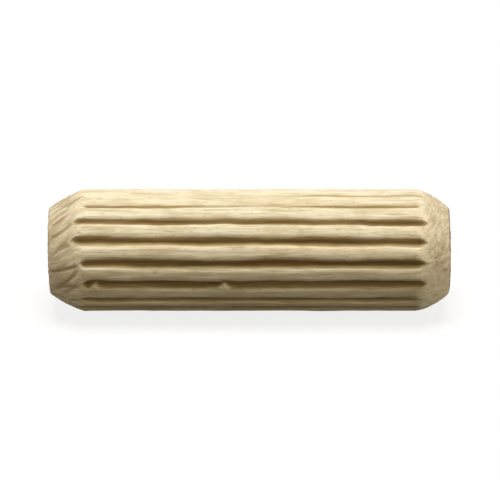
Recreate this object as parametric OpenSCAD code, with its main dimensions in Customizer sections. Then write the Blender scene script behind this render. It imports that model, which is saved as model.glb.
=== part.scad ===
// Fluted wooden dowel pin: a short hardwood rod with straight pressed flutes and crowned ends.
// The pin lies along X with its middle at the origin, and rests on the two ridges
// on either side of its lowest flute.

/* [Pin] */
// Diameter over the ridge tops, in mm
pin_d = 9.525; // [8:0.025:16]
// Length from one sawn end to the other
pin_l = 31.2; // [20:0.1:60]

/* [Flutes] */
// Spacing of the flutes round the ridge tops, rounded so that a whole number fits
flute_pitch = 1.66; // [1.3:0.01:2.4]
// Width of a flute's mouth, from the edge of one ridge top to the edge of the next
flute_w = 0.81; // [0.6:0.01:1]
// Depth of a flute below the ridge tops
flute_depth = 0.48; // [0.3:0.01:0.6]
// Radius of the rounded bottom of a flute
root_r = 0.1; // [0.05:0.01:0.14]
// Radius that rounds each ridge top into the side of its flute
shoulder_r = 0.15; // [0.05:0.01:0.2]

/* [Ends] */
// Diameter at which the crowned chamfer meets the plane of the sawn end
end_d = 6.7; // [5:0.1:7.2]
// Length of the crowned chamfer
chamfer_l = 2.7; // [1.5:0.1:4]
// Radius of the chamfer's crown, seen from the side
crown_r = 6.5; // [4:0.1:20]
// Radius that softens the rim of the sawn end
rim_r = 0.3; // [0.1:0.05:0.5]

/* [Hidden] */
$fn = 96;

pin_r = pin_d / 2;
end_r = end_d / 2;
flute_count = round(PI * pin_d / flute_pitch);

// A rounding arc is drawn this much larger than one that is exactly tangent, so that it
// crosses the faces that it blends.
overdraw = 1.015;
root_arc_r = root_r * overdraw;
shoulder_arc_r = shoulder_r * overdraw;
rim_arc_r = rim_r * overdraw;
// Spare material that a cut runs past the surface it opens
spare = 0.6;

// Unit vector at an angle, and a point's mirror image across the Y axis
function dir(a) = [cos(a), sin(a)];
function flip_x(p) = [-p.x, p.y];

// Centres of the arcs of one flute, which opens along +Y. The shoulder's arc crosses the
// ridge top at the edge of the mouth.
root_c = [0, pin_r - flute_depth + root_r];
mouth_a = asin(flute_w / 2 / pin_r);
shoulder_d = pin_r - shoulder_r;
edge_a = acos((pow(pin_r, 2) + pow(shoulder_d, 2) - pow(shoulder_arc_r, 2)) / (2 * pin_r * shoulder_d));
shoulder_c = shoulder_d * dir(90 - mouth_a - edge_a);

// The side of a flute is the line that touches both arcs and passes between them
side_run = shoulder_c - root_c;
side_tilt = atan2(side_run.y, side_run.x) + asin((root_r + shoulder_r) / norm(side_run));
side_root = root_c + root_r * dir(side_tilt - 90);
side_shoulder = shoulder_c + shoulder_r * dir(side_tilt + 90);

// What one flute removes from the round rod
module flute() {
    side = [side_root, side_shoulder, shoulder_c, shoulder_c + (shoulder_r + spare) * dir(90)];
    difference() {
        union() {
            polygon(concat(side, [for (i = [len(side) - 1 : -1 : 0]) flip_x(side[i])]));
            translate(root_c) circle(r = root_arc_r);
        }
        for (c = [shoulder_c, flip_x(shoulder_c)])
            translate(c) circle(r = shoulder_arc_r);
    }
}

// Cross-section of the rod, with one flute straight down
module fluted_section() {
    difference() {
        circle(r = pin_r);
        for (i = [0 : flute_count - 1])
            rotate(180 + 360 * i / flute_count) flute();
    }
}

// Centre of the crown's arc, which runs from the ridge tops to the sawn end, in a half
// section with X as the distance from the axis and Y along it
crown_from = [pin_r, pin_l / 2 - chamfer_l];
crown_to = [end_r, pin_l / 2];
crown_chord = crown_to - crown_from;
centre_run = sqrt(pow(crown_r, 2) - pow(norm(crown_chord) / 2, 2));
crown_c = (crown_from + crown_to) / 2
    - centre_run * [crown_chord.y, -crown_chord.x] / norm(crown_chord);

// Centre of the rim's arc, which touches the sawn end and the crown
rim_y = pin_l / 2 - rim_r;
rim_c = [crown_c.x + sqrt(pow(crown_r - rim_r, 2) - pow(rim_y - crown_c.y, 2)), rim_y];
rim_lean = atan2(rim_c.y - crown_c.y, rim_c.x - crown_c.x);

// What softening the rim removes from the half section
module rim_corner() {
    difference() {
        polygon([rim_c, rim_c + spare * dir(rim_lean), rim_c + 2 * spare * dir((90 + rim_lean) / 2),
            rim_c + spare * dir(90)]);
        translate(rim_c) circle(r = rim_arc_r);
    }
}

// Half section of one end. It stands clear of the ridge tops up to where the crown begins.
module half_end() {
    difference() {
        union() {
            square([pin_r + spare, crown_from.y - spare]);
            intersection() {
                square([pin_r + spare, pin_l / 2]);
                translate(crown_c) circle(r = crown_r);
            }
        }
        rim_corner();
    }
}

// Turned blank that gives the rod its two ends
module turned_ends() {
    rotate_extrude() {
        half_end();
        mirror([0, 1]) half_end();
    }
}

module dowel_pin() {
    color("burlywood")
        rotate([90, 0, 90]) intersection() {
            linear_extrude(height = pin_l + 2 * spare, center = true) fluted_section();
            turned_ends();
        }
}

dowel_pin();
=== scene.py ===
import math
from collections import namedtuple

import bpy
import numpy as np
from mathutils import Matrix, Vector, noise


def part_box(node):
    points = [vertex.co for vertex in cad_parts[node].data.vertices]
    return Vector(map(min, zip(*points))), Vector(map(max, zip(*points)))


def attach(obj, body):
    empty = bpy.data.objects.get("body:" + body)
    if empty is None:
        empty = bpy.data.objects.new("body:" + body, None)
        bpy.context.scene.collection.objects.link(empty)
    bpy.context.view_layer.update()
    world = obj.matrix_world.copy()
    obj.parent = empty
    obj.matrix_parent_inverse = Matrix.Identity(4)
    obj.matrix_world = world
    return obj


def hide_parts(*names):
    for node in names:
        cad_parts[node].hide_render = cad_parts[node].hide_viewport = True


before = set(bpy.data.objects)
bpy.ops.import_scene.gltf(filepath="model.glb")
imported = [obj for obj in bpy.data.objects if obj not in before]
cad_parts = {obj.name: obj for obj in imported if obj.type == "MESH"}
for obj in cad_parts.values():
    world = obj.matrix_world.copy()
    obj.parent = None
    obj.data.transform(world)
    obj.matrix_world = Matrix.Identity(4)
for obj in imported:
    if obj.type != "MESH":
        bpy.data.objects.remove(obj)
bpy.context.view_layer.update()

# The pin is built in millimetres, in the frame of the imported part. It lies along X, and angles
# round it are counted in degrees from straight down, first towards the camera (-Y).
MM = 0.001
NODE = "dowel_pin"
PIECE = "dowel_pin_wood"
BOX_LOW, BOX_HIGH = (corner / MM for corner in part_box(NODE))
HALF_LENGTH = BOX_HIGH.x
PIN_R = BOX_HIGH.y
SEED = 41

# Flutes: as many and as deep as in the part and about as wide, with a root and shoulders that
# pressed wood rounds softly. A shallow flute has sharper shoulders, and a faint one vanishes.
FLUTE_COUNT = 18
FLUTE_STEP = 360 / FLUTE_COUNT
FLUTE_DEPTH = 0.48
FLUTE_HALF_W = 0.42
ROOT_SOFT = 0.07
SHOULDER_SOFT = 0.15
SHARPEST_SHARE = 0.2
FAINT_DEPTH = 0.3 * FLUTE_DEPTH

# The flutes by number, from 0 straight down, where they differ from the regular pattern:
# turned by so many degrees, pressed to a share of the full depth, and so much wider
TURNED = {2: -0.8, 3: -3.1, 4: -2.1, 5: -0.6, 6: 0.7, 7: 0.7, 8: -1.1, 9: -3.0}
PRESSED = {3: 0.8, 5: 0.79, 6: 0.97, 7: 0.82, 8: 0.43, 9: 0.34, 10: 0.8}
WIDENED = {5: 1.25, 6: 1.08}
# How far from the pin's middle they run out at its two ends, and over how many mm a few of them
# fade out at the right
LEFT_RUNOUT = {3: 13.5, 4: 13.3, 5: 13.4, 6: 14.1, 7: 14.0, 8: 13.4}
RIGHT_RUNOUT = {4: 14.0, 5: 14.5, 6: 14.4, 7: 14.05}
RIGHT_FADE = {3: 1.4, 5: 1.9, 6: 1.5}
# Two flutes that don't run quite straight, in degrees per mm along the pin
DRIFT = {6: -0.067, 7: -0.055}
# Two that are hardly pressed come and go: by what share, over which length, from which phase
FADED = {8: (0.22, 20.0, -1.66), 9: (0.6, 30.0, -0.10)}
# How strongly a flute's painted shade darkens it for its depth, where it is darker or paler than the
# others
FLUTE_SHADE_SCALE = {5: 1.28, 6: 0.88, 8: 1.1, 9: 0.95}

# What is drawn at random where no table gives it: the spread of a flute's turn in degrees, and
# ranges of its share of the depth, of where it runs out and of the length over which it does
TURN_SPREAD = 0.5
PRESSED_RANGE = (0.88, 1.04)
LEFT_RANGE = (12.8, 13.9)
RIGHT_RANGE = (13.5, 13.9)
RUNOUT_LENGTHS = (0.5, 1.0)

# A flute's middle wavers by so many degrees in a long and a short wave, and shivers by so many mm
# over a short length. Its depth comes and goes by a share. The waves' lengths are drawn for each
# flute, in the order long waver, short waver, depth.
WAVER = 0.48
LONG_SHARE, SHORT_SHARE = 0.7, 0.3
SHIVER = 0.045
SHIVER_LENGTH = 1.1
DEPTH_FADE = 0.09
SHORTEST_WAVES = (9, 3.5, 5)
LONGEST_WAVES = (22, 7.0, 11)

# Places where a flute is hardly pressed: x in mm, which flute, half length, share of the
# depth that is left and how far the flute is turned aside there, in degrees
SKIPS = (
    (-2.0, 4, 0.30, 0.60, 3.0),
    (-12.0, 4, 0.26, 0.62, 2.8),
    (9.6, 13, 0.36, 0.60, -2.6),
    (-6.8, 16, 0.30, 0.55, 2.4),
    (3.1, 10, 0.32, 0.60, 2.6),
)

# Ends: the same chamfer length and end diameter as in the part. They aren't alike: a crisp,
# nearly straight chamfer on the left, and a rounder, ragged one on the right. Each has
#   crown_r, rim_r      radii of the chamfer and of the rim of the sawn face
#   dome                how far that rim stands back from the middle of the face
#   lean, lean_to       slope of the sawn face, and the angle at which it stands furthest out
#   off_axis, off_to    how far off the axis the chamfer is turned, and towards which angle
#   slant               slope of the lines that the cutter scored, in degrees
#   saw_to              direction across the saw's lines, in degrees from +Y towards +Z
#   trail               strength of the creases in which the flutes trail off
#   clean, painted_bounce_to     how much of the nose's dullness is missing, as painted bounce light, and
#                        round which angle
CHAMFER_L = 2.7
END_R = 3.35
LEFT_END = {
    "side": -1, "crown_r": 9.5, "rim_r": 0.28, "dome": 0.02, "lean": 0.012, "lean_to": 150,
    "off_axis": 0.07, "off_to": 70, "slant": 40, "saw_to": 118, "trail": 1.0,
    "painted_bounce": 0.6, "painted_bounce_to": 15,
}
RIGHT_END = {
    "side": 1, "crown_r": 6.8, "rim_r": 0.5, "dome": 0.12, "lean": 0.006, "lean_to": 40,
    "off_axis": 0.06, "off_to": 20, "slant": -75, "saw_to": 35, "trail": 0.35,
    "painted_bounce": 0.95, "painted_bounce_to": 15,
}
# How widely the painted bounce light on a nose's lower side spreads round it, from 0 to 1
PAINTED_BOUNCE_SPREAD = 0.25
# Rounding where the fluted rod meets the turned blank, the share of a nose that counts as none,
# and the share beyond which no flute reaches
MEET_SOFT = 0.03
NO_NOSE = 1e-6
BARE_FROM = 0.75
# A ring belongs to a sawn face by how far its normal points along the pin: from, and over
FACE_FROM = 0.76
FACE_OVER = 0.18

# Over a nose each flute trails off in a faint crease. It starts a little before the flute's own
# end, and turns by so many degrees on its way to the sawn face. How strong it is differs by
# chance along its run, and it fades in over the first share of the run and out over the last.
TRAIL_OVERLAP = 0.5
TRAIL_TURN = -16
TRAIL_HALF_W = 0.14
TRAIL_STRENGTH = 0.75
TRAIL_CHANCE = 0.9
TRAIL_CHANCE_LENGTH = 1.3
TRAIL_WOBBLE_LENGTH = 0.9
TRAIL_FADES = (0.25, 0.2)
# Strokes of the cutter are such creases too. All of them wobble, by so many degrees, and are at
# most so many mm deep.
STROKE_HALF_W = 0.16
STROKE_WOBBLE_LENGTH = 0.7
STROKE_FADES = (0.3, 0.4)
LINE_WOBBLE = 2.5
CREASE_DEPTH = 0.06
# Layers of chance values, each with its own use
SHIVER_LAYER = 0
TRAIL_LAYER = 3
STROKE_LAYER = 5
STRENGTH_LAYER = 7

# The strokes across the noses: from x in mm and angle, to x and angle, and how strong each is
STROKES = (
    (-13.8, 123.0, -15.3, 111.0, 0.75),
    (-12.9, 99.0, -15.4, 56.0, 0.85),
    (-13.0, 85.0, -14.8, 50.0, 0.55),
    (-13.4, 173.0, -15.0, 150.0, 0.5),
    (-13.5, 229.0, -15.0, 208.0, 0.4),
    (-13.6, 300.0, -15.1, 276.0, 0.55),
    (-13.2, 24.0, -14.8, -3.0, 0.6),
    (13.5, 196.0, 15.0, 176.0, 0.35),
    (13.3, 52.0, 14.9, 30.0, 0.35),
    (13.4, 285.0, 14.9, 262.0, 0.4),
)

# Places where the surface is hurt: x in mm, angle, half length, half width and depth in mm.
# Nicks are small dents, ticks are press marks across a ridge, and tears are patches of a nose
# where the cutter pulled fibres out.
NICKS = (
    (-7.4, 90.0, 0.35, 0.25, 0.06),
    (2.2, 108.0, 0.5, 0.12, 0.05),
    (-3.9, 148.0, 0.9, 0.25, 0.045),
    (10.9, 131.0, 0.3, 0.2, 0.05),
    (6.3, 231.0, 0.6, 0.3, 0.09),
    (-10.2, 287.0, 0.5, 0.25, 0.07),
)
TICKS = (
    (7.4, 89.0, 0.10, 0.34, 0.06),
    (7.95, 89.5, 0.10, 0.32, 0.07),
    (8.5, 89.0, 0.11, 0.34, 0.06),
    (-9.6, 109.0, 0.12, 0.26, 0.05),
    (-5.2, 212.0, 0.12, 0.34, 0.06),
)
TEARS = (
    (14.4, 108.0, 0.8, 2.4, 0.035),
    (-14.6, 38.0, 0.6, 1.6, 0.05),
    (14.4, 247.0, 0.7, 1.9, 0.06),
    (-14.3, 205.0, 0.8, 2.1, 0.06),
    (-15.0, 151.0, 0.25, 0.7, 0.06),
    (-14.9, 121.0, 0.45, 0.9, 0.03),
)
# Outline of a tear: how ragged it is, in cells of this size, where it ends and over how much of
# its half width it fades
TEAR_RAGGED = 0.7
TEAR_CELL = (0.5, 0.6, 0.6)
TEAR_EDGE = 1.25
TEAR_SOFT = 1.1
# Floor of a tear: its share of the depth, and how much its own lumps add and take, in such cells
TEAR_FLOOR = 0.4
TEAR_LUMPS = 1.3
TEAR_LUMP_CELL = (0.24, 0.20, 0.20)

# Relief as layers of noise: height in mm, size of a cell along each axis, and a shift that keeps
# layers apart. Scoring is laid along its own slope, and its heights are shares of SCORING_HEIGHT,
# which is reached at a share of the nose.
SIDE_RELIEF = (
    (0.006, (3.5, 0.16, 0.16), 0.0),
    (0.014, (6, 0.7, 0.7), 0.0),
    (0.022, (1.3, 0.55, 0.55), 0.0),
)
FACE_RELIEF = (
    (0.03, (3, 0.28, 0.28), 0.0),
    (0.05, (9, 1.3, 1.3), 0.0),
)
SCORING = (
    (1.3, (2.6, 0.9, 0.42), 8.7),
    (1.0, (1.5, 0.5, 0.17), 0.0),
    (0.6, (0.8, 0.3, 0.1), 3.1),
)
SCORING_HEIGHT = 0.014
SCORING_FULL_AT = 0.35

# Sawn faces: height and pitch of the saw's coarse and fine lines, how far and in which cells the
# coarse ones waver, and how proud the growth rings stand
SAW_HEIGHT, SAW_PITCH = 0.016, 0.46
FINE_SAW_HEIGHT, FINE_SAW_PITCH = 0.009, 0.21
SAW_WAVER = 0.12
SAW_WAVER_CELL = (9, 2.2, 2.2)
RING_HEIGHT = 0.010
# Torn spots of a sawn face lie where a noise of such cells is high: from, and over. Then the
# ranges of its open pores.
SPOT_DEPTH = 0.09
SPOT_CELL = (9, 0.9, 0.9)
SPOT_SHIFT = 7.3
SPOT_FROM = 0.36
SPOT_OVER = 0.2
PORE_COUNT = 150
PORE_HALF_W = (0.04, 0.09)
PORE_DEPTH = (0.02, 0.06)
# Depths at which the painted shade in a pore and in a torn spot is as dark as it gets
DARK_PORE = 0.05
DARK_SPOT = 0.14

# Middle of the tree's growth rings, off to one side of the pin, and the grain's slope along it
PITH_Y, PITH_Z = 16.0, -21.0
GRAIN_SLOPE_Y, GRAIN_SLOPE_Z = 0.035, -0.02
RING_PITCH = 1.45
# By how many pitches noise warps the rings, and the shares of a ring's width between which its
# late wood comes in
RING_WARP = 1.6
LATE_FROM = 0.55
LATE_FULL = 0.98

# Mesh: points round the pin, and the rings' spacing along it, which is closer near the run-outs
# and near a skip
AROUND = 360
BODY_STEP = 0.27
RUNOUT_STEP = 0.12
RUNOUT_ZONE = 1.6
SKIP_STEP = 0.10
SKIP_ZONE = 0.7
CROWN_STATIONS = 26
RIM_STATIONS = 6
# Rings of a sawn face: how far in each group of rings reaches, their step and count of points
FACE_GROUPS = (
    (1.7, 0.1, AROUND),
    (0.8, 0.1, AROUND // 2),
    (0.36, 0.11, AROUND // 4),
    (0.1, 0.12, AROUND // 8),
)
# What the material is told of each point: how dark the painted shade of a flute is there, how
# far out on a nose it is, less so on a nose's lower side where that paints bounce light, whether
# it is on a sawn face, how dark the painted shade of an open pore or torn spot is there, and
# whether it is in a crease or in a tear
FACTS = ("flute_shade", "nose", "face", "pit_shade", "crease", "torn")

# The wood's base colours, for its ridges, noses and sawn faces, and painted shade for its flutes and for
# the pores of a sawn face
CREAM = (0.80, 0.688, 0.448)
PALE_CREAM = (0.95, 0.885, 0.655)
CLOUDY_CREAM = (0.92, 0.80, 0.545)
DULL_CREAM = (0.71, 0.612, 0.378)
BRIGHT_CREAM = (0.96, 0.90, 0.675)
HAIR_BROWN = (0.58, 0.435, 0.23)
LATE_BROWN = (0.72, 0.54, 0.31)
PORE_BROWN = (0.47, 0.33, 0.165)
SPECK_BROWN = (0.36, 0.24, 0.115)
FLECK_TAN = (0.64, 0.46, 0.26)
# Painted shade down a flute's flanks and at its root, darkest where the flute is deepest
FLANK_SHADE_DARK = (0.37, 0.265, 0.118)
FLANK_SHADE_LIGHT = (0.52, 0.395, 0.195)
ROOT_SHADE_DARK = (0.20, 0.133, 0.046)
ROOT_SHADE_LIGHT = (0.31, 0.218, 0.087)
ROOT_SHADE_RED = (0.27, 0.14, 0.055)
NOSE_DARK = (0.505, 0.405, 0.255)
NOSE_LIGHT = (0.755, 0.64, 0.44)
NOSE_BROWN = (0.40, 0.30, 0.165)
CREASE_BROWN = (0.33, 0.235, 0.12)
TORN_DARK = (0.42, 0.325, 0.195)
TORN_PALE = (0.95, 0.86, 0.64)
FACE_DARK = (0.34, 0.27, 0.175)
FACE_LIGHT = (0.52, 0.43, 0.29)
FACE_PALE = (0.62, 0.52, 0.36)
FACE_LATE = (0.27, 0.195, 0.12)
# Painted shade for the open pores and torn spots of a sawn face
PORE_SHADE = (0.11, 0.075, 0.045)
# Slope of the scoring in the colour of the noses, in degrees, how much the fibres fray the edge
# of a flute's painted shade, and strength of the bump and its height in mm
OBLIQUE = 40
FRAY = 0.45
BUMP_STRENGTH = 0.9
BUMP_HEIGHT = 0.05
# Roughness of a ridge top, and what fine fibres, a flute's root and a nose add to it
RIDGE_ROUGHNESS = 0.70
FIBRE_ROUGHNESS = 0.16
ROOT_ROUGHNESS = 0.10
NOSE_ROUGHNESS = 0.22
SPECULAR = 0.2

# Light: each lamp's level is what a white card facing it gets at the pin. Azimuth 0 is the
# camera's side, and the lamps' size and distance are in metres.
LAMP_DISTANCE = 1.2
WHITE = (1.0, 1.0, 1.0)
WARM = (1.0, 0.94, 0.85)
WARMER = (1.0, 0.86, 0.66)
LAMPS = (
    {"name": "key", "azimuth": 0, "elevation": 88, "size": 0.60, "level": 0.925, "colour": WHITE},
    {"name": "front_fill", "azimuth": -14, "elevation": 20, "size": 0.70, "level": 0.20, "colour": WARMER},
    {"name": "right_fill", "azimuth": 86, "elevation": 3, "size": 0.50, "level": 0.76, "colour": WARM},
    {"name": "left_fill", "azimuth": -92, "elevation": 11, "size": 0.60, "level": 0.33, "colour": WARM},
    {"name": "back_fill", "azimuth": 175, "elevation": 14, "size": 0.70, "level": 0.18, "colour": WARM},
)
# Level of the even light from all round
AMBIENT = 0.075

# Floor, half as wide as this in metres: white paper that glows by a share where it is seen, and
# a dark warm one to the light that bounces off it
FLOOR_HALF = 1.5
PAPER = (0.97, 0.97, 0.97)
FLOOR_BOUNCE = (0.05, 0.042, 0.031)
FLOOR_GLOW = 0.82

# Camera: its height in degrees, its distance in metres, and how much of the frame the pin fills
CAMERA_ELEVATION = 23
CAMERA_DISTANCE = 0.35
FRAME_SHARE = 0.80


# ---------------------------------------------------------------- the turned blank

# One ring of points round the pin: how many, where it lies along the pin and how far out, and
# the direction in which the surface faces there
Ring = namedtuple("Ring", "count x radius normal_x normal_out")


def arc(centre, radius, start, stop, count):
    """Points on an arc, with the direction in which each faces: along, out, along, out."""
    turn = np.linspace(start, stop, count)
    normal = np.stack([np.sin(turn), np.cos(turn)], axis=1)
    return np.hstack([np.array(centre) + radius * normal, normal])


def end_profile(end):
    """Half section of one end, from the ridge tops over the crowned chamfer and the rim to the
    sawn face, and the radius at which that face begins."""
    start = np.array([HALF_LENGTH - CHAMFER_L, PIN_R])
    stop = np.array([HALF_LENGTH, END_R])
    chord = stop - start
    length = np.hypot(*chord)
    inward = np.array([chord[1], -chord[0]]) / length
    crown_c = (start + stop) / 2 + inward * math.sqrt(end["crown_r"] ** 2 - (length / 2) ** 2)
    rim_x = HALF_LENGTH - end["rim_r"]
    reach = end["crown_r"] - end["rim_r"]
    rim_c = np.array([rim_x, crown_c[1] + math.sqrt(reach ** 2 - (rim_x - crown_c[0]) ** 2)])
    crown_from = math.atan2(*(start - crown_c))
    crown_to = math.atan2(*(rim_c - crown_c))
    crown = arc(crown_c, end["crown_r"], crown_from, crown_to, CROWN_STATIONS)
    rim = arc(rim_c, end["rim_r"], crown_to, math.pi / 2, RIM_STATIONS)
    return np.vstack([crown, rim[1:]]), rim_c[1]


def body_stations():
    """Places along the straight part, closer together at the skips and where the flutes run out."""
    half = HALF_LENGTH - CHAMFER_L
    places = [-half]
    while places[-1] < half:
        x = places[-1]
        step = RUNOUT_STEP if abs(x) > half - RUNOUT_ZONE else BODY_STEP
        if any(abs(x - skip[0]) < SKIP_ZONE for skip in SKIPS):
            step = SKIP_STEP
        places.append(x + step)
    return np.interp(places, (-half, places[-1]), (-half, half))[1:-1]


def end_rings(end):
    """Rings of one end, from the straight part to the middle of the sawn face."""
    profile, outer = end_profile(end)
    rings = [Ring(AROUND, *row) for row in profile]
    for inner, step, count in FACE_GROUPS:
        steps = max(round((outer - inner) / step), 1)
        for radius in np.linspace(outer, inner, steps + 1)[1:]:
            rings.append(Ring(count, HALF_LENGTH, radius, 1.0, 0.0))
        outer = inner
    rings.append(Ring(1, HALF_LENGTH, 0.0, 1.0, 0.0))
    side = end["side"]
    return [ring._replace(x=side * ring.x, normal_x=side * ring.normal_x) for ring in rings]


def all_rings():
    """Rings of the whole pin, from the middle of the left face to the middle of the right one."""
    body = [Ring(AROUND, x, PIN_R, 0.0, 1.0) for x in body_stations()]
    return end_rings(LEFT_END)[::-1] + body + end_rings(RIGHT_END)


# ---------------------------------------------------------------- helpers

def smoothstep(value):
    """0 up to 0, 1 from 1 on, and a smooth rise between."""
    clipped = np.clip(value, 0, 1)
    return clipped * clipped * (3 - 2 * clipped)


def rise_and_fall(run, rise, fall):
    """Goes up to 1 over the first share of a run, down again over its last, and is 0 outside."""
    return float(smoothstep(run / rise) * smoothstep((1 - run) / fall))


def arc_from(middle, angle, radius):
    """Distance round the pin, in mm, from the angle middle to each angle."""
    return np.radians((angle - middle + 180) % 360 - 180) * radius


def facing(turn, towards):
    """1 at the angle towards, in degrees, and -1 on the other side of the pin."""
    return np.cos(turn - math.radians(towards))


def round_axis(along, out, turn):
    """Points round the pin, from how far along it and how far out from its axis each lies."""
    return np.stack([along, -out * np.sin(turn), -out * np.cos(turn)], axis=1)


def wander(x, length, lane, layer):
    """A smooth chance value for x, which changes over about that length. Lanes and layers
    differ from each other."""
    return noise.noise(Vector((x / length, lane, layer)))


def noise_at(points, cell):
    """Perlin noise at each point, with a cell of that size along each axis."""
    return np.array([noise.noise(Vector(point)) for point in points / np.array(cell)])


def relief_at(points, layers):
    """Sum of the layers of noise at each point."""
    return sum(height * noise_at(points + shift, cell) for height, cell, shift in layers)


# ---------------------------------------------------------------- flutes

def make_flutes():
    """Each flute's own middle, depth, run-outs and waver. What no table gives is drawn."""
    rng = np.random.default_rng(SEED)
    flutes = []
    for index in range(FLUTE_COUNT):
        turned = rng.normal(0, TURN_SPREAD)
        pressed = PRESSED.get(index, rng.uniform(*PRESSED_RANGE))
        left = LEFT_RUNOUT.get(index, rng.uniform(*LEFT_RANGE))
        waves = rng.uniform(SHORTEST_WAVES, LONGEST_WAVES)
        phases = rng.uniform(0, 2 * math.pi, 3)
        right = RIGHT_RUNOUT.get(index, rng.uniform(*RIGHT_RANGE))
        runout = rng.uniform(*RUNOUT_LENGTHS)
        fade = DEPTH_FADE
        if index in FADED:
            fade, waves[2], phases[2] = FADED[index]
        flutes.append({
            "middle": index * FLUTE_STEP + TURNED.get(index, turned),
            "drift": DRIFT.get(index, 0.0),
            "skips": [(x, *rest) for x, flute, *rest in SKIPS if flute == index],
            "depth": FLUTE_DEPTH * pressed,
            "wide": WIDENED.get(index, 1.0),
            "reach": {-1: left, 1: right},
            "runout": {-1: runout, 1: max(runout, RIGHT_FADE.get(index, 0.0))},
            "fade": fade,
            "tint": FLUTE_SHADE_SCALE.get(index, 1.0),
            "waves": waves,
            "phases": phases,
        })
    return flutes


def flute_recess(across, depth):
    """Depth below the ridge tops at a distance across from a flute's middle. The flute is a V
    with a soft root and soft shoulders."""
    slope = FLUTE_DEPTH / (math.hypot(FLUTE_HALF_W, ROOT_SOFT) - ROOT_SOFT)
    below = depth - slope * (np.hypot(across, ROOT_SOFT) - ROOT_SOFT)
    full = min(depth / FLUTE_DEPTH, 1)
    soft = SHOULDER_SOFT * (SHARPEST_SHARE + (1 - SHARPEST_SHARE) * full)
    return soft * np.logaddexp(0, below / soft) * smoothstep(depth / FAINT_DEPTH)


def recess_at(x, angle, flutes, side):
    """Depth of the fluting at one place along the pin, for every angle round it, and how dark its
    painted shade is there for that depth, from 0 to 1."""
    recess = np.zeros_like(angle)
    flute_shade = np.zeros_like(angle)
    for flute in flutes:
        waves = np.sin(2 * np.pi * x / flute["waves"] + flute["phases"])
        long_wave, short_wave, depth_wave = waves
        waver = WAVER * (LONG_SHARE * long_wave + SHORT_SHARE * short_wave)
        middle = flute["middle"] + flute["drift"] * x + waver
        depth = flute["depth"] * (1 + flute["fade"] * depth_wave)
        for skip_x, half_l, share_left, aside in flute["skips"]:
            skipped = math.exp(-((x - skip_x) / half_l) ** 2)
            depth *= 1 - (1 - share_left) * skipped
            middle += aside * skipped
        depth *= smoothstep((flute["reach"][side] - abs(x)) / flute["runout"][side])
        shiver = SHIVER * wander(x, SHIVER_LENGTH, flute["middle"], SHIVER_LAYER)
        across = arc_from(middle, angle, PIN_R) + shiver
        own = flute_recess(across / flute["wide"], depth)
        recess += own
        # a flute's painted shade grows with its own depth
        flute_shade += own * flute["tint"]
    return recess, np.clip(flute_shade / FLUTE_DEPTH, 0, 1)


# ---------------------------------------------------------------- marks of the cutter and wear

def line_at(middle, angle, radius, half_w):
    """1 on a line that crosses the ring at the angle middle, falling to 0 on both sides."""
    return np.exp(-(arc_from(middle, angle, radius) / half_w) ** 2)


def flute_trails(x, angle, radius, flutes, end):
    """Strength of the creases in which the flutes trail off over a nose."""
    total = np.zeros_like(angle)
    for flute in flutes:
        lane = flute["middle"]
        start = flute["reach"][end["side"]] - TRAIL_OVERLAP
        run = (abs(x) - start) / (HALF_LENGTH - start)
        wobble = LINE_WOBBLE * wander(x, TRAIL_WOBBLE_LENGTH, lane, TRAIL_LAYER)
        middle = lane + TRAIL_TURN * run + wobble
        chance = TRAIL_CHANCE * wander(x, TRAIL_CHANCE_LENGTH, lane, STRENGTH_LAYER)
        strength = end["trail"] * (TRAIL_STRENGTH + chance) * rise_and_fall(run, *TRAIL_FADES)
        total += strength * line_at(middle, angle, radius, TRAIL_HALF_W)
    return total


def cutter_strokes(x, angle, radius):
    """Strength of the longer strokes over the noses."""
    total = np.zeros_like(angle)
    for start_x, start_angle, stop_x, stop_angle, strength in STROKES:
        turn = stop_angle - start_angle
        length = stop_x - start_x
        run = (x - start_x) / length
        wobble = LINE_WOBBLE * wander(x, STROKE_WOBBLE_LENGTH, start_angle, STROKE_LAYER)
        middle = start_angle + turn * run + wobble
        half_w = STROKE_HALF_W * math.hypot(1, math.radians(turn) * radius / length)
        strength *= rise_and_fall(run, *STROKE_FADES)
        total += strength * line_at(middle, angle, radius, half_w)
    return total


def dents(x, angle, places):
    """Depth of the soft dents listed in places."""
    total = np.zeros_like(angle)
    for place_x, place_angle, half_l, half_w, depth in places:
        across = arc_from(place_angle, angle, PIN_R)
        total += depth * np.exp(-((x - place_x) / half_l) ** 2 - (across / half_w) ** 2)
    return total


def tears(x, angle):
    """Where the torn patches lie, from 0 to 1, and how deep each point of them is."""
    points = round_axis(np.full_like(angle, x), PIN_R, np.radians(angle))
    ragged = TEAR_RAGGED * noise_at(points, TEAR_CELL)
    cover = np.zeros_like(angle)
    depth = np.zeros_like(angle)
    for place_x, place_angle, half_l, half_w, deepest in TEARS:
        across = arc_from(place_angle, angle, PIN_R)
        away = np.hypot((x - place_x) / half_l, across / half_w) + ragged
        own = smoothstep((TEAR_EDGE - away) / TEAR_SOFT)
        cover = np.maximum(cover, own)
        depth = np.maximum(depth, deepest * own)
    return cover, depth


def scored(points, slant):
    """Fine oblique lines, as a dull cutter leaves them across the fibres of a nose."""
    cosine = math.cos(math.radians(slant))
    sine = math.sin(math.radians(slant))
    x, y, z = points.T
    turned = np.stack([x * cosine + z * sine, y, z * cosine - x * sine], axis=1)
    return relief_at(turned, SCORING)


# ---------------------------------------------------------------- sawn faces

def make_pores(rng):
    """Open pores of a sawn face: where they are across it, how wide and how deep."""
    radius = END_R * np.sqrt(rng.uniform(0, 1, PORE_COUNT))
    angle = rng.uniform(0, 2 * math.pi, PORE_COUNT)
    half_w = rng.uniform(*PORE_HALF_W, PORE_COUNT)
    depth = rng.uniform(*PORE_DEPTH, PORE_COUNT)
    return list(zip(radius * np.cos(angle), radius * np.sin(angle), half_w, depth))


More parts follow.
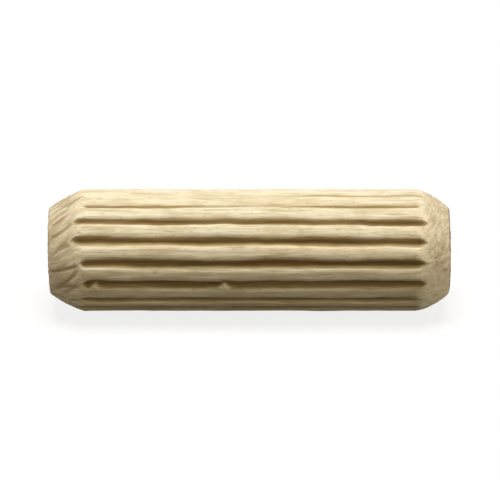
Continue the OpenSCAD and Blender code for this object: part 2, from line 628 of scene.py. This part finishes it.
def face_relief(points, pores, saw_to):
    """Height of a sawn face, with saw lines, growth rings that stand proud, torn spots and open
    pores, and how dark the painted shade in the spots and pores is."""
    y, z = points[:, 1], points[:, 2]
    along = y * math.cos(math.radians(saw_to)) + z * math.sin(math.radians(saw_to))
    waver = SAW_WAVER * noise_at(points, SAW_WAVER_CELL)
    saw = SAW_HEIGHT * np.sin(2 * np.pi * (along + waver) / SAW_PITCH)
    saw += FINE_SAW_HEIGHT * np.sin(2 * np.pi * along / FINE_SAW_PITCH)
    rings = RING_HEIGHT * np.sin(2 * np.pi * np.hypot(y - PITH_Y, z - PITH_Z) / RING_PITCH)
    rough = relief_at(points, FACE_RELIEF)
    spotted = noise_at(points + SPOT_SHIFT, SPOT_CELL)
    spots = SPOT_DEPTH * smoothstep((spotted - SPOT_FROM) / SPOT_OVER)
    holes = np.zeros(len(points))
    for pore_y, pore_z, half_w, depth in pores:
        holes += depth * np.exp(-((y - pore_y) ** 2 + (z - pore_z) ** 2) / half_w ** 2)
    # painted shade in the pores and torn spots, darker the deeper they are
    dark = np.clip(holes / DARK_PORE + spots / DARK_SPOT, 0, 1)
    return saw + rings + rough - spots - holes, dark


# ---------------------------------------------------------------- the mesh

def soft_lower(a, b):
    """The lower of two heights, rounded off where they meet."""
    return -MEET_SOFT * np.logaddexp(-a / MEET_SOFT, -b / MEET_SOFT)


def ring_outline(ring, turn, nose, face, recess, end):
    """Distance from the axis: the lower of the fluted rod and the turned blank. Where there is no
    nose to meet, the rod keeps its full size."""
    blank = ring.radius + end["off_axis"] * nose * (1 - face) * facing(turn, end["off_to"])
    if nose > BARE_FROM:
        return blank
    out = soft_lower(PIN_R - recess, blank)
    if nose < NO_NOSE:
        out += MEET_SOFT * math.log(2)
    return out


def ring_relief(points, nose, face, torn_depth, pores, end):
    """Height of the fine relief at each point, and how dark the painted shade in a sawn face's pores and
    spots is.
    """
    scoring = SCORING_HEIGHT * smoothstep(nose / SCORING_FULL_AT) * scored(points, end["slant"])
    floor = torn_depth * (TEAR_FLOOR + TEAR_LUMPS * noise_at(points, TEAR_LUMP_CELL))
    side_height = relief_at(points, SIDE_RELIEF) + scoring - floor
    if face == 0:
        return side_height, np.zeros(len(points))
    face_height, dark = face_relief(points, pores, end["saw_to"])
    return side_height * (1 - face) + face_height * face, dark * face


def ring_surface(ring, flutes, pores):
    """Points of one ring, and the facts of each for the material."""
    end = RIGHT_END if ring.x > 0 else LEFT_END
    angle = np.arange(ring.count) * 360 / ring.count
    turn = np.radians(angle)
    nose = max(abs(ring.x) - (HALF_LENGTH - CHAMFER_L), 0) / CHAMFER_L
    face = float(smoothstep((abs(ring.normal_x) - FACE_FROM) / FACE_OVER))

    recess, flute_shade = recess_at(ring.x, angle, flutes, end["side"])
    out = ring_outline(ring, turn, nose, face, recess, end)
    crease = flute_trails(ring.x, angle, ring.radius, flutes, end)
    crease = np.clip(crease + cutter_strokes(ring.x, angle, ring.radius), 0, 1)
    out = out - CREASE_DEPTH * crease - dents(ring.x, angle, NICKS + TICKS)

    # the sawn face leans and is domed, which takes the outer part of the nose with it
    lean = end["lean"] * ring.radius * facing(turn, end["lean_to"])
    dome = end["dome"] * (ring.radius / END_R) ** 2
    along = ring.x + end["side"] * nose ** 3 * (lean - dome)
    points = round_axis(along, out, turn)

    # fine relief stands square on the surface
    torn, torn_depth = tears(ring.x, angle)
    relief, pit_shade = ring_relief(points, nose, face, torn_depth, pores[end["side"]], end)
    points += round_axis(ring.normal_x * relief, ring.normal_out * relief, turn)

    # a nose's dull colour thins towards its lower side: painted bounce light from the floor
    painted_bounce_side = PAINTED_BOUNCE_SPREAD + (1 - PAINTED_BOUNCE_SPREAD) * facing(turn, end["painted_bounce_to"])
    facts = {
        "flute_shade": flute_shade,
        "nose": nose * (1 - end["painted_bounce"] * smoothstep(painted_bounce_side)),
        "face": np.full(ring.count, face),
        "pit_shade": pit_shade,
        "crease": crease * (1 - face),
        "torn": torn * (1 - face),
    }
    return points, facts


def bridge(low, high, low_count, high_count):
    """Faces between two neighbouring rings, whose first points have the indices low and high.
    The rings have as many points, or one has twice as many, or one is a single point."""
    if low_count < high_count:
        # the same faces from the other side, so they turn the other way
        return [face[::-1] for face in bridge(high, low, high_count, low_count)]
    faces = []
    if high_count == 1:
        for j in range(low_count):
            faces.append((low + j, high, low + (j + 1) % low_count))
    elif high_count == low_count:
        for j in range(low_count):
            after = (j + 1) % low_count
            faces.append((low + j, high + j, high + after, low + after))
    else:
        for j in range(high_count):
            a, b, c = low + 2 * j, low + 2 * j + 1, low + (2 * j + 2) % low_count
            p, q = high + j, high + (j + 1) % high_count
            faces += [(a, p, b), (b, p, q), (b, q, c)]
    return faces


def make_pin():
    """The pin as one closed mesh, with the facts stored as point attributes."""
    flutes = make_flutes()
    rng = np.random.default_rng(SEED + 1)
    pores = {end["side"]: make_pores(rng) for end in (LEFT_END, RIGHT_END)}
    rings = all_rings()
    surfaces = [ring_surface(ring, flutes, pores) for ring in rings]
    faces = []
    start = 0
    for ring, after in zip(rings, rings[1:]):
        faces += bridge(start, start + ring.count, ring.count, after.count)
        start += ring.count
    mesh = bpy.data.meshes.new(PIECE)
    mesh.from_pydata(np.vstack([points for points, _ in surfaces]) * MM, [], faces)
    for name in FACTS:
        values = np.concatenate([facts[name] for _, facts in surfaces]).astype(np.float32)
        mesh.attributes.new(name, "FLOAT", "POINT").data.foreach_set("value", values)
    mesh.polygons.foreach_set("use_smooth", np.ones(len(mesh.polygons), bool))
    mesh.update()
    pin = bpy.data.objects.new(PIECE, mesh)
    bpy.context.scene.collection.objects.link(pin)
    return pin


# ---------------------------------------------------------------- materials

class Graph:
    """Short ways to add and join nodes, in a node tree that starts empty."""

    def __init__(self, tree):
        self.nodes = tree.nodes
        self.links = tree.links
        self.nodes.clear()

    def put(self, socket, value):
        """Sets an input socket to a number or colour, or links it to another node's output."""
        if isinstance(value, bpy.types.NodeSocket):
            self.links.new(value, socket)
        elif isinstance(value, tuple) and socket.type == "RGBA":
            socket.default_value = (*value, 1)
        else:
            socket.default_value = value

    def node(self, kind, inputs=None, **settings):
        made = self.nodes.new(kind)
        for key, value in settings.items():
            setattr(made, key, value)
        for key, value in (inputs or {}).items():
            self.put(made.inputs[key], value)
        return made

    def math(self, operation, a, b=0.0, clamp=False):
        made = self.node("ShaderNodeMath", {0: a, 1: b}, operation=operation, use_clamp=clamp)
        return made.outputs[0]

    def plus(self, a, b):
        return self.math("ADD", a, b)

    def minus(self, a, b):
        return self.math("SUBTRACT", a, b)

    def times(self, a, b):
        return self.math("MULTIPLY", a, b)

    def step(self, value, low, high, to_low=0.0, to_high=1.0):
        """Maps low..high smoothly to to_low..to_high, and holds it there outside."""
        inputs = {"Value": value, "From Min": low, "From Max": high, "To Min": to_low, "To Max": to_high}
        return self.node("ShaderNodeMapRange", inputs, interpolation_type="SMOOTHSTEP").outputs["Result"]

    def mix(self, factor, a, b):
        """Colour a, turning into colour b as the factor goes from 0 to 1."""
        return self.node("ShaderNodeMix", {0: factor, 6: a, 7: b}, data_type="RGBA").outputs[2]

    def attribute(self, name):
        return self.node("ShaderNodeAttribute", attribute_name=name).outputs["Fac"]

    def scaled(self, vector, scale):
        return self.node("ShaderNodeMapping", {"Vector": vector, "Scale": scale}).outputs["Vector"]

    def turned(self, vector, rotation):
        return self.node("ShaderNodeMapping", {"Vector": vector, "Rotation": rotation}).outputs["Vector"]

    def noise(self, vector, scale, detail=3.0, roughness=0.55, distortion=0.0):
        """Noise from 0 to 1, with so many cells to the mm along each axis."""
        inputs = {
            "Vector": self.scaled(vector, scale), "Scale": 1.0, "Detail": detail,
            "Roughness": roughness, "Distortion": distortion,
        }
        return self.node("ShaderNodeTexNoise", inputs).outputs["Fac"]

    def cells(self, vector, scale):
        """Distance to the nearest of scattered points, so many to the mm along each axis."""
        inputs = {"Vector": self.scaled(vector, scale), "Scale": 1.0}
        return self.node("ShaderNodeTexVoronoi", inputs).outputs["Distance"]

    def seen(self):
        """1 where the camera looks, straight or by a reflection or through glass, and 0 for
        light that bounces on."""
        path = self.node("ShaderNodeLightPath").outputs
        seen = self.math("MAXIMUM", path["Is Camera Ray"], path["Is Glossy Ray"])
        return self.math("MAXIMUM", seen, path["Is Transmission Ray"])


def new_material(name):
    material = bpy.data.materials.new(name)
    material.use_nodes = True
    return material, Graph(material.node_tree)


def late_wood(g, mm):
    """Growth rings round the pith, as broad faint bands that are strongest at their outer side."""
    split = g.node("ShaderNodeSeparateXYZ", {"Vector": mm}).outputs
    y = g.plus(g.times(split["X"], GRAIN_SLOPE_Y), g.minus(split["Y"], PITH_Y))
    z = g.plus(g.times(split["X"], GRAIN_SLOPE_Z), g.minus(split["Z"], PITH_Z))
    from_pith = g.math("SQRT", g.plus(g.times(y, y), g.times(z, z)))
    warp = g.noise(mm, (0.05, 0.35, 0.35), detail=2)
    count = g.plus(g.math("DIVIDE", from_pith, RING_PITCH), g.times(warp, RING_WARP))
    return g.step(g.math("FRACT", count), LATE_FROM, LATE_FULL)


def wood_grain(g, mm):
    """What the wood shows, by name. On the sides it is drawn out along the grain."""
    oblique = g.turned(mm, (0, math.radians(OBLIQUE), 0))
    return {
        "late": late_wood(g, mm),
        "fibre": g.noise(mm, (0.13, 4.0, 4.0), detail=6, roughness=0.68, distortion=0.15),
        "hair": g.noise(mm, (0.28, 9.0, 9.0), detail=4, roughness=0.65),
        "fine": g.noise(mm, (0.6, 10.0, 10.0), detail=3),
        "clouds": g.noise(mm, (0.11, 0.3, 0.3), detail=2),
        "mottle": g.noise(mm, (0.42, 1.3, 1.3), detail=3, roughness=0.6),
        "reddish": g.noise(mm, (0.16, 0.7, 0.7), detail=2),
        "pores": g.step(g.noise(mm, (0.20, 7.0, 7.0), detail=2), 0.60, 0.68),
        "specks": g.step(g.noise(mm, (1.5, 8.0, 8.0), detail=1), 0.68, 0.76),
        "flecks": g.step(g.cells(mm, (0.9, 3.6, 3.6)), 0.24, 0.12),
        "scoring": g.noise(oblique, (0.45, 1.5, 6.0), detail=4, roughness=0.6),
        "strokes": g.noise(oblique, (0.35, 0.9, 2.3), detail=2),
        "coarse": g.noise(mm, (4.0, 3.6, 3.6), detail=4, roughness=0.72, distortion=0.4),
        "speckle": g.noise(mm, (1.2, 6.5, 6.5), detail=4, roughness=0.7),
        "blotches": g.noise(mm, (0.5, 0.7, 0.7), detail=3),
    }


def ridge_colour(g, grain):
    """Cream, with warmer, duller and paler streaks, and with pores, specks and ray flecks."""
    colour = g.mix(g.step(grain["fibre"], 0.38, 0.61), CREAM, PALE_CREAM)
    colour = g.mix(g.step(grain["clouds"], 0.42, 0.62, 0, 0.5), colour, CLOUDY_CREAM)
    colour = g.mix(g.step(grain["mottle"], 0.50, 0.62, 0, 0.6), colour, DULL_CREAM)
    colour = g.mix(g.step(grain["mottle"], 0.47, 0.36, 0, 0.6), colour, BRIGHT_CREAM)
    colour = g.mix(g.step(grain["hair"], 0.52, 0.66, 0, 0.45), colour, HAIR_BROWN)
    colour = g.mix(g.times(grain["late"], 0.25), colour, LATE_BROWN)
    colour = g.mix(g.times(grain["pores"], 0.55), colour, PORE_BROWN)
    colour = g.mix(g.times(grain["specks"], 0.55), colour, SPECK_BROWN)
    return g.mix(g.times(grain["flecks"], 0.32), colour, FLECK_TAN)


def add_flute_shade(g, grain, colour, flute_shade, deep):
    """Painted shade, darker and more saturated down the flanks of a flute, and most of all at its root."""
    streaks = g.step(grain["fibre"], 0.35, 0.65)
    flank = g.mix(streaks, FLANK_SHADE_DARK, FLANK_SHADE_LIGHT)
    root = g.mix(streaks, ROOT_SHADE_DARK, ROOT_SHADE_LIGHT)
    root = g.mix(g.step(grain["reddish"], 0.46, 0.66, 0, 0.3), root, ROOT_SHADE_RED)
    colour = g.mix(g.step(flute_shade, 0.18, 0.46), colour, flank)
    return g.mix(deep, colour, root)


def add_noses(g, grain, fact, colour):
    """Duller and greyer where the noses are cut across the fibres, with oblique scoring, dark
    creases and coarse torn patches."""
    dull = g.mix(g.step(grain["scoring"], 0.36, 0.62), NOSE_DARK, NOSE_LIGHT)
    dull = g.mix(g.step(grain["strokes"], 0.50, 0.64, 0, 0.5), dull, NOSE_BROWN)
    # the nose fact is weaker on a nose's lower side, so its dull colour thins there as painted bounce
    # light
    colour = g.mix(g.step(fact["nose"], 0.02, 0.5, 0, 0.85), colour, dull)
    colour = g.mix(g.step(fact["crease"], 0.08, 0.75, 0, 0.7), colour, CREASE_BROWN)
    dark = g.times(fact["torn"], g.step(grain["coarse"], 0.48, 0.64, 0, 0.45))
    pale = g.times(fact["torn"], g.step(grain["coarse"], 0.47, 0.34, 0, 0.4))
    return g.mix(pale, g.mix(dark, colour, TORN_DARK), TORN_PALE)


def face_colour(g, grain, fact):
    """Open end grain, darker and greyer than the sides, with rings and pale spots, and painted shade in
    its pores and torn spots.
    """
    colour = g.mix(g.step(grain["blotches"], 0.38, 0.62), FACE_DARK, FACE_LIGHT)
    colour = g.mix(g.step(grain["speckle"], 0.50, 0.68, 0, 0.5), colour, FACE_PALE)
    colour = g.mix(g.times(grain["late"], 0.35), colour, FACE_LATE)
    return g.mix(g.times(fact["pit_shade"], 0.8), colour, PORE_SHADE)


def wood_roughness(g, grain, fact, deep):
    """Matt ridge tops, and rougher flutes and noses."""
    rough = g.plus(RIDGE_ROUGHNESS, g.times(grain["fine"], FIBRE_ROUGHNESS))
    rough = g.plus(rough, g.times(deep, ROOT_ROUGHNESS))
    return g.math("ADD", rough, g.times(fact["nose"], NOSE_ROUGHNESS), clamp=True)


def wood_bump(g, grain, fact):
    """Fibres that stand up, pores that are open, scored noses and coarse faces."""
    fibres = g.plus(g.times(grain["hair"], 0.55), g.times(grain["fine"], 0.35))
    height = g.plus(g.times(grain["fibre"], 0.55), fibres)
    height = g.minus(height, g.plus(g.times(grain["pores"], 0.30), g.times(grain["specks"], 0.35)))
    height = g.plus(height, g.times(g.times(grain["scoring"], fact["nose"]), 0.9))
    height = g.plus(height, g.times(g.times(grain["speckle"], fact["face"]), 1.4))
    inputs = {"Strength": BUMP_STRENGTH, "Distance": BUMP_HEIGHT * MM, "Height": height}
    return g.node("ShaderNodeBump", inputs).outputs["Normal"]


def wood_material():
    """Pale hardwood with the grain along X. Lengths inside are in mm."""
    material, g = new_material("pale_fluted_hardwood")
    place = g.node("ShaderNodeTexCoord").outputs["Object"]
    mm = g.scaled(place, (1 / MM, 1 / MM, 1 / MM))
    fact = {name: g.attribute(name) for name in FACTS}
    grain = wood_grain(g, mm)

    # the painted shade in the flutes, with fibres that fray its edge, and where it is deepest
    flute_shade = g.plus(fact["flute_shade"], g.times(g.minus(grain["hair"], 0.5), FRAY))
    deep = g.step(flute_shade, 0.36, 0.85)

    side = add_flute_shade(g, grain, ridge_colour(g, grain), flute_shade, deep)
    side = add_noses(g, grain, fact, side)
    surface = g.node("ShaderNodeBsdfPrincipled", {
        "Base Color": g.mix(fact["face"], side, face_colour(g, grain, fact)),
        "Roughness": wood_roughness(g, grain, fact, deep),
        "Normal": wood_bump(g, grain, fact),
        "Specular IOR Level": SPECULAR,
    })
    g.node("ShaderNodeOutputMaterial", {"Surface": surface.outputs[0]})
    return material


def floor_material():
    """White paper where it is seen, with the pin's shadow kept faint, and a dull one to light
    that bounces on."""
    material, g = new_material("studio_floor")
    paper = g.node("ShaderNodeBsdfDiffuse", {"Color": PAPER}).outputs[0]
    glow = g.node("ShaderNodeEmission", {"Color": WHITE, "Strength": 1.0}).outputs[0]
    dull = g.node("ShaderNodeBsdfDiffuse", {"Color": FLOOR_BOUNCE}).outputs[0]
    white = g.node("ShaderNodeMixShader", {0: FLOOR_GLOW, 1: paper, 2: glow}).outputs[0]
    shown = g.node("ShaderNodeMixShader", {0: g.seen(), 1: dull, 2: white}).outputs[0]
    g.node("ShaderNodeOutputMaterial", {"Surface": shown})
    return material


# ---------------------------------------------------------------- floor, light and camera

def make_floor(height, half):
    mesh = bpy.data.meshes.new("studio_floor")
    corners = [(x, y, height) for x, y in ((-half, -half), (half, -half), (half, half), (-half, half))]
    mesh.from_pydata(corners, [], [(0, 1, 2, 3)])
    floor = bpy.data.objects.new("studio_floor", mesh)
    mesh.materials.append(floor_material())
    bpy.context.scene.collection.objects.link(floor)


def direction(azimuth, elevation):
    """Unit vector from the pin towards a place, with azimuth 0 on the camera's side."""
    a = math.radians(azimuth)
    e = math.radians(elevation)
    return Vector((math.sin(a) * math.cos(e), -math.cos(a) * math.cos(e), math.sin(e)))


def aim(thing, away):
    """Points a lamp or camera back along the direction in which it stands away."""
    thing.rotation_euler = away.to_track_quat("Z", "Y").to_euler()


def make_lamp(name, azimuth, elevation, size, level, colour):
    """A square soft lamp that lights a white card facing it to the given level at the pin."""
    lamp = bpy.data.lights.new(name, "AREA")
    lamp.shape = "SQUARE"
    lamp.size = size
    lamp.color = colour
    lamp.energy = math.pi ** 2 * LAMP_DISTANCE ** 2 * level
    holder = bpy.data.objects.new(name, lamp)
    away = direction(azimuth, elevation)
    holder.location = away * LAMP_DISTANCE
    aim(holder, away)
    bpy.context.scene.collection.objects.link(holder)


def make_world():
    """Even warm light from all round, and plain white where the world itself is seen."""
    world = bpy.data.worlds.new("studio")
    bpy.context.scene.world = world
    world.use_nodes = True
    g = Graph(world.node_tree)
    seen = g.seen()
    inputs = {"Value": seen, "To Min": AMBIENT, "To Max": 1.0}
    strength = g.node("ShaderNodeMapRange", inputs).outputs["Result"]
    tint = g.mix(seen, WARMER, WHITE)
    background = g.node("ShaderNodeBackground", {"Color": tint, "Strength": strength})
    g.node("ShaderNodeOutputWorld", {"Surface": background.outputs[0]})


def make_camera():
    """Looks straight at the pin's side from a little above, from near by."""
    data = bpy.data.cameras.new("camera")
    camera = bpy.data.objects.new("camera", data)
    away = direction(0, CAMERA_ELEVATION)
    camera.location = away * CAMERA_DISTANCE
    aim(camera, away)
    shown = 2 * HALF_LENGTH * MM / FRAME_SHARE
    data.lens = data.sensor_width * CAMERA_DISTANCE / shown
    data.clip_start = CAMERA_DISTANCE / 10
    bpy.context.scene.collection.objects.link(camera)
    bpy.context.scene.camera = camera


# ---------------------------------------------------------------- scene

make_camera()
make_world()
for lamp in LAMPS:
    make_lamp(**lamp)
make_floor(BOX_LOW.z * MM, FLOOR_HALF)

pin = make_pin()
pin.data.materials.append(wood_material())
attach(pin, "root")
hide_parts(NODE)

bpy.context.scene.view_settings.view_transform = "Standard"
